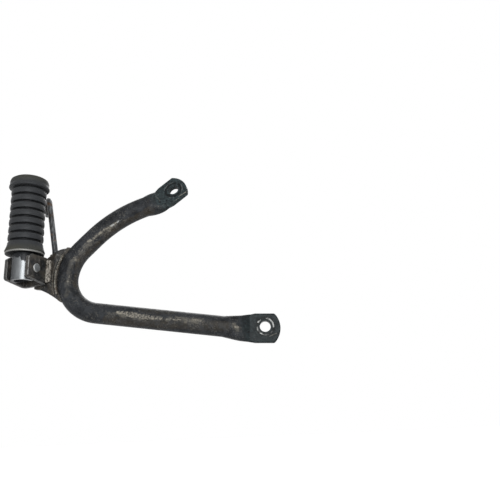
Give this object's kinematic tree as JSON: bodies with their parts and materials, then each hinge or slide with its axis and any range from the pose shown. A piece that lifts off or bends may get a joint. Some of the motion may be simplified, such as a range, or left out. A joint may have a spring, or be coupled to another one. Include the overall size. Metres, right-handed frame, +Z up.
{
  "type": "motorcycle foot peg",
  "caption": "Folding passenger foot peg for a motorcycle: ribbed rubber on a tube stem, hinged in a clevis on a bent tube bracket that bolts to the frame, with a strap hook behind.",
  "frame": {"origin": "centre of the lower bolt hole, on the lug face that lies against the motorcycle's frame", "axes": "+X along the lower arm towards its lug, +Y into the motorcycle, +Z up; the peg is folded up"},
  "size_m": [0.2676, 0.0572, 0.1764],
  "materials": {
    "black_paint": "satin black paint, scuffed, with rust showing",
    "dirty_paint": "black paint under oily dirt, edges worn bright",
    "weld_metal": "rippled weld beads with flaked paint",
    "worn_rod": "worn grey steel rod with light rust",
    "rivet_steel": "dull worn steel",
    "bare_steel": "bare steel, paint worn away",
    "collar_steel": "dull plated steel",
    "black_rubber": "matt moulded rubber, dusty"
  },
  "bodies": {
    "bracket": {"bracket_tube": "black_paint", "clevis": "dirty_paint", "gusset_plate": "dirty_paint", "weld_near_ear": "weld_metal", "weld_web_back": "weld_metal", "weld_saddle_front": "weld_metal", "weld_saddle_back": "weld_metal", "strap_hook": "worn_rod", "weld_hook_foot": "weld_metal", "pivot_rivet": "rivet_steel"},
    "peg": {"peg_stem": "bare_steel", "rubber_collar": "collar_steel", "stem_end_washer": "bare_steel", "peg_rubber": "black_rubber"}
  },
  "joints": [
    {"name": "peg_fold", "type": "hinge", "parent": "bracket", "child": "peg", "pos_m": [-0.2334, -0.01008, 0.0647], "axis": [0.9171, -0.3987, 0], "range_deg": [0, 90]}
  ]
}
